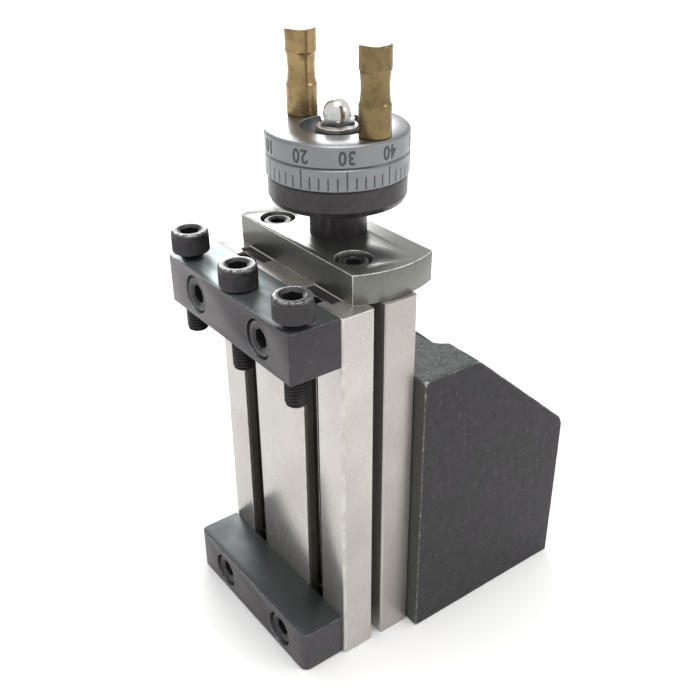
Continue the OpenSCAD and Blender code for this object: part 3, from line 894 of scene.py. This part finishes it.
def satinChrome():
    # satin plated dial: fine turned rings, black filled cuts where the "ink" attribute is set
    rough = 0.3
    paint = Paint("satinChrome", dial["satin"], 0.95, rough)
    rings = paint.noise((30 * mm, 30 * mm, 0.1 * mm), 2.0)
    smear = paint.stretch(paint.noise(3.5 * mm, 3.0), 0.4, 0.75)
    ink = paint.attribute("ink")
    tone = paint.mix(smear * 0.25, dial["satin"], scaled(dial["satin"], 0.72))
    tone = paint.mix(ink, tone, dial["lineInk"])
    paint.feed(**{"Base Color": tone, "Metallic": 0.95 - ink * 0.8,
                  "Roughness": rough + smear * 0.08 + ink * 0.3,
                  "Normal": paint.bump(rings, 0.004 * mm)})
    return paint.material


def dialBody():
    # one turned wall round the hole: lower band with the graduations, vee, upper band, hollow for the nut
    mid, low, high = spot("dial")
    r = (high[0] - low[0]) / 2
    z0, z1 = low[2], high[2]
    groove = (z0 + z1) / 2
    columns = dial["divisions"] * dial["columnsEach"]
    a = 2 * math.pi * np.arange(columns) / columns
    # nearest graduation of each column, and how far along the rim it lies from it
    spacing = 2 * math.pi / dial["divisions"]
    turnFromZero = a - math.radians(dial["zero"])
    number = np.round(turnFromZero / spacing)
    away = np.abs(turnFromZero - number * spacing) * r
    number = number.astype(int) % dial["divisions"]
    plain, numbered = dial["lines"]
    tall = np.where(number % dial["numberEvery"] == 0, numbered, plain)

    def cuts(angle, z, ring):
        # engraved line: a rounded cut where a column is close to a graduation, up to that line's height
        across = np.clip(1.35 - away / (dial["cutWide"] / 2) * 0.85, 0, 1)[None, :]
        foot = z0 + dial["lineFoot"]
        fade = 0.12 * mm
        up = falling(z, foot + 0.05 * mm + tall[None, :], fade) * rising(z, foot, fade)
        return dial["cut"] * across * up * (ring > r - 0.1 * mm)

    hole, vee = dial["hole"], dial["vee"]
    wellR, wellDeep = dial["well"]
    bossR, bossDeep = dial["boss"]
    rings = along(
        (hole, z0, 0, 1), (r - 0.3 * mm, z0, 0, 2), (r, z0 + 0.3 * mm, 0, 2),
        (r, groove - vee, 0, 26), (r - vee, groove, 0, 2), (r, groove + vee, 0, 2),
        (r, z1 - 0.62 * mm, 0, 3), (r - 0.12 * mm, z1 - 0.4 * mm, 0, 1), (r - 0.5 * mm, z1 - 0.07 * mm, 0, 1),
        (r - 0.7 * mm, z1, 0, 1), (wellR + 0.15 * mm, z1, 0, 2), (wellR, z1 - 0.15 * mm, 0, 1),
        (wellR, z1 - wellDeep, 0, 2), (bossR, z1 - wellDeep, 0, 2), (bossR, z1 - bossDeep, 0, 1),
        (hole, z1 - bossDeep + 0.03 * mm, 0, 1), (hole, z0, 0, 1),
    )[:-1]
    form = turned(rings, columns, cuts, loop=True)
    ink = (cuts(a[None, :], rings[:, 1:2], rings[:, 0:1]) / dial["cut"]).ravel()
    mesh = meshOf("dial_body", placed(form, (mid[0], mid[1], 0)))
    mesh.attributes.new("ink", "FLOAT", "POINT").data.foreach_set("value", ink.astype(np.float32))
    finished("dial_body", mesh, "dial", [satinChrome()], sharp=26)
    return mid, r, groove, z1


def numberInk():
    # black filling of the numbers: faintly cloudy, with small lighter rubs
    color = dial["numberInk"]
    rough = 0.4
    paint = Paint("numberInk", color, 0.3, rough)
    cloud = paint.stretch(paint.noise(9 * mm, 3.0), 0.3, 0.75)
    fine = paint.noise(0.3 * mm, 3.0, 0.6)
    rub = paint.stretch(paint.noise(2.5 * mm, 5.0, 0.7), 0.6, 0.78)
    tone = paint.mix(cloud * 0.6, color, scaled(color, 1.45))
    tone = paint.mix(rub * 0.5, tone, scaled(color, 1.9, 0.012))
    paint.feed(**{"Base Color": tone, "Roughness": rough + cloud * 0.08 - rub * 0.06,
                  "Normal": paint.bump(fine, 0.004 * mm)})
    return paint.material


def dialNumbers(mid, r, groove, top):
    # each number is set flat, cut into strips, and wrapped round the dial: angle = x / r
    forms = bmesh.new()
    count = dial["divisions"] // dial["numberEvery"]
    tall = dial["textHigh"] / 0.7   # a digit is about 0.7 of its letter size
    for step in range(count):
        curveData = bpy.data.curves.new("digits", "FONT")
        curveData.body = str(step * 10)
        curveData.size = 1.0
        curveData.align_x = "CENTER"
        curveData.align_y = "CENTER"
        curveData.space_character = 1.12
        curveData.offset = dial["textBold"]
        holder = bpy.data.objects.new("digits", curveData)
        scene.collection.objects.link(holder)
        flat = bpy.data.meshes.new_from_object(holder.evaluated_get(bpy.context.evaluated_depsgraph_get()))
        bpy.data.objects.remove(holder)
        work = bmesh.new()
        work.from_mesh(flat)
        for cutAt in np.arange(-dial["stripReach"], dial["stripReach"], dial["stripWide"]):
            bmesh.ops.bisect_plane(work, geom=work.verts[:] + work.edges[:] + work.faces[:],
                                   plane_co=(cutAt, 0, 0), plane_no=(1, 0, 0))
        work.to_mesh(flat)
        work.free()
        points = np.zeros(len(flat.vertices) * 3, np.float32)
        flat.vertices.foreach_get("co", points)
        x, y = points.reshape(-1, 3).astype(float).T[:2]
        middleHigh = (y.max() + y.min()) / 2
        # upside down: x and y both change sign
        angle = math.radians(dial["zero"]) + step * 2 * math.pi / count - x * tall * dial["textNarrow"] / r
        z = (groove + 0.4 * mm + top - 0.6 * mm) / 2 - (y - middleHigh) * tall
        out = r + dial["textLift"]
        placedPoints = np.stack([mid[0] + out * np.cos(angle), mid[1] + out * np.sin(angle), z], -1)
        flat.vertices.foreach_set("co", placedPoints.astype(np.float32).ravel())
        forms.from_mesh(flat)
    bmesh.ops.recalc_face_normals(forms, faces=forms.faces)
    mesh = bpy.data.meshes.new("dial_numbers")
    forms.to_mesh(mesh)
    forms.free()
    normals = np.zeros(len(mesh.polygons) * 3, np.float32)
    centres = np.zeros(len(mesh.polygons) * 3, np.float32)
    mesh.polygons.foreach_get("normal", normals)
    mesh.polygons.foreach_get("center", centres)
    outwards = centres.reshape(-1, 3) - np.array([mid[0], mid[1], 0])
    outwards[:, 2] = 0
    if (normals.reshape(-1, 3) * outwards).sum() < 0:
        mesh.flip_normals()
    mesh.materials.clear()
    mesh.materials.append(numberInk())
    piece = bpy.data.objects.new("dial_numbers", mesh)
    scene.collection.objects.link(piece)
    solid = piece.modifiers.new("depth", "SOLIDIFY")
    solid.thickness = dial["textDeep"]
    solid.offset = -1
    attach(piece, frame["nodes"]["dial"]["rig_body"])


dialNumbers(*dialBody())
print("dial")


# brass handles, dome nut and leadscrew

brass = {
    "light": (0.31, 0.225, 0.105, 1),
    "dark": (0.165, 0.103, 0.056, 1),
    # painted shading: the near handle's brass is darkened and the far one's lightened, as lit and shaded
    # copies of one brass
    "paintedShading": {"far": 1.08, "near": 0.7},
    "columns": 96,
    "shank": 2.0 * mm,
    "waist": (0.36, 0.74),   # where it starts and ends, as shares of the height
    "waistDeep": 0.42 * mm,
    "topRound": 0.4 * mm,
}


def brassHandle(which):
    # turned bar on a shank, with a waist between two plain ends and a rounded top
    node = "handle_" + which
    mid, low, high = spot(node)
    r = (high[0] - low[0]) / 2
    base = spot("dial")[2][2]
    top = high[2]
    lowWaist, highWaist = (base + share * (top - base) for share in brass["waist"])
    shank, rounding = brass["shank"], brass["topRound"]
    t = np.linspace(0, 1, 25)
    # waist: a shallow hollow between the two plain ends, the 0.45th power of a sine, so its ends are steep
    hollow = r - brass["waistDeep"] * np.sin(math.pi * t) ** 0.45
    profile = np.vstack([
        along((shank, low[2], 0, 1), (shank, base, 0, 2), (r - 0.2 * mm, base, 0, 1),
              (r, base + 0.2 * mm, 0, 2), (r, lowWaist - 0.1 * mm, 0, 6)),
        np.stack([hollow, lowWaist + (highWaist - lowWaist) * t, 0 * t], -1),
        along((r, highWaist + 0.1 * mm, 0, 1), (r, top - 0.45 * mm, 0, 6)),
        curve(r - rounding, top - rounding, rounding, 8, 90, 6),
        along((r - 0.6 * mm, top, 0, 1), (0.6 * mm, top - 0.03 * mm, 0, 3)),
    ])
    form = placed(turned(profile, brass["columns"]), (mid[0], mid[1], 0))
    # painted shading: this handle's colours are scaled lighter or darker
    handleShading = brass["paintedShading"][which]
    light, dark = scaled(brass["light"], handleShading), scaled(brass["dark"], handleShading)
    skin = turnedMetal("brass_" + which, light, dark, 0.95, 0.2, 0.14 * mm, 0.008 * mm, 0.75)
    finished("brass_" + which, meshOf("brass_" + which, form), node, [skin], sharp=40)


brassHandle("far")
brassHandle("near")

domed = {
    "columns": 96,
    "flat": 3.5 * mm,
    "corner": 3.78 * mm,     # radius at which the hexagon's corners start to be turned off
    "cone": 1.1,             # how fast that radius grows away from the ends
    "hexHigh": 1.7 * mm,
    "dome": 2.95 * mm,
    "chrome": (0.66, 0.66, 0.64, 1),
    "chromeDark": (0.42, 0.43, 0.4, 1),
}


def domeNut():
    # hexagon with turned corners under a round dome
    mid, high = spot("dome_nut")[::2]
    z0 = spot("dial")[2][2]
    z1 = high[2]
    flat, hexHigh, dome = domed["flat"], domed["hexHigh"], domed["dome"]

    def corners(a, z, ring):
        # the hexagon's corners are turned off where they reach past a cone
        folded = (a + math.pi / 6) % (math.pi / 3) - math.pi / 6
        reach = ring / np.cos(folded)
        limit = domed["corner"] + domed["cone"] * np.minimum(z - z0, z0 + hexHigh - z)
        return np.where((ring > 3.2 * mm) & (ring < flat + 1e-6), np.maximum(reach - limit, 0), 0)

    profile = np.vstack([
        along((1.0 * mm, z0, 0, 1), (3.3 * mm, z0, 0, 1), (flat, z0 + 0.02 * mm, 1, 1),
              (flat, z0 + hexHigh - 0.02 * mm, 1, 10), (3.25 * mm, z0 + hexHigh + 0.02 * mm, 0, 2),
              (dome + 0.08 * mm, z0 + hexHigh + 0.06 * mm, 0, 1)),
        curve(0, z1 - dome, dome, 0, 86, 20),
    ])
    form = placed(turned(profile, domed["columns"], corners), (mid[0], mid[1], 0))
    tones = (domed["chrome"], domed["chromeDark"])
    chrome = turnedMetal("brightChrome", *tones, 1.0, 0.12, 0.2 * mm, 0.003 * mm)
    finished("cap_nut", meshOf("cap_nut", form), "dome_nut", [chrome], sharp=28)


domeNut()
print("handles and nut")

lead = {
    "thread": 8 * mm,
    "pitch": 1.0 * mm,
    "depth": 0.6,            # of the pitch
    "shoulder": 5.5 * mm,
    "shoulderHigh": 2.3 * mm,
    "shaft": 3.0 * mm,
    "stud": 2.0 * mm,
    "columns": 64,
    "light": (0.5, 0.48, 0.45, 1),
    "dark": (0.3, 0.26, 0.2, 1),
}


def leadScrew():
    # threaded rod up to the table's top, then a turned shoulder, shaft and stud
    mid, low, high = spot("leadscrew")
    top = spot("slide_table")[2][2] + 0.2 * mm
    keyTop = spot("dial_key")[2][2] + 0.4 * mm
    shoulder, shaft, stud = lead["shoulder"], lead["shaft"], lead["stud"]
    shoulderTop = top + lead["shoulderHigh"]
    rod = threadRod(lead["thread"], top, low[2], lead["pitch"], lead["depth"])
    plain = turned(along((1.5 * mm, top - 0.5 * mm, 0, 1), (shaft, top - 0.5 * mm, 0, 1), (shaft, top, 0, 1),
                         (shoulder - 0.2 * mm, top, 0, 1), (shoulder, top + 0.2 * mm, 0, 1),
                         (shoulder, shoulderTop, 0, 2), (shaft, shoulderTop, 0, 1), (shaft, keyTop, 0, 6),
                         (stud, keyTop, 0, 1), (stud, high[2], 0, 3), (0.3 * mm, high[2], 0, 1)),
                   lead["columns"])
    form = placed(joined(rod, plain), (mid[0], mid[1], 0))
    bright = turnedMetal("leadSteel", lead["light"], lead["dark"], 0.95, 0.3, 0.3 * mm, 0.001 * mm)
    finished("lead_screw", meshOf("lead_screw", form), "leadscrew", [bright], sharp=34)


leadScrew()
print("leadscrew")


# small parts at the sides and the back

small = {
    "bronze": (0.36, 0.22, 0.1, 1),
    "bronzeDark": (0.2, 0.12, 0.06, 1),
    "steel": (0.58, 0.57, 0.55, 1),
    "steelDark": (0.4, 0.38, 0.34, 1),
    "edge": 0.12 * mm,
    "screwEdge": 0.1 * mm,
}
bronze = turnedMetal("bronze", small["bronze"], small["bronzeDark"], 0.9, 0.34)
bright = turnedMetal("brightSteel", small["steel"], small["steelDark"], 0.95, 0.28)
for node in ("feed_nut", "thrust_washers"):
    softened(node, [bronze], small["edge"])
for node in ("gib_lock_nuts", "dial_washer", "dial_key"):
    softened(node, [bright], small["edge"])
for node in ("gib_screws", "feed_nut_screws", "base_screws", "clamp_bar_t_nuts", "lower_jaw_t_nuts"):
    softened(node, [screwSkin, screwRub], small["screwEdge"])
print("small parts")
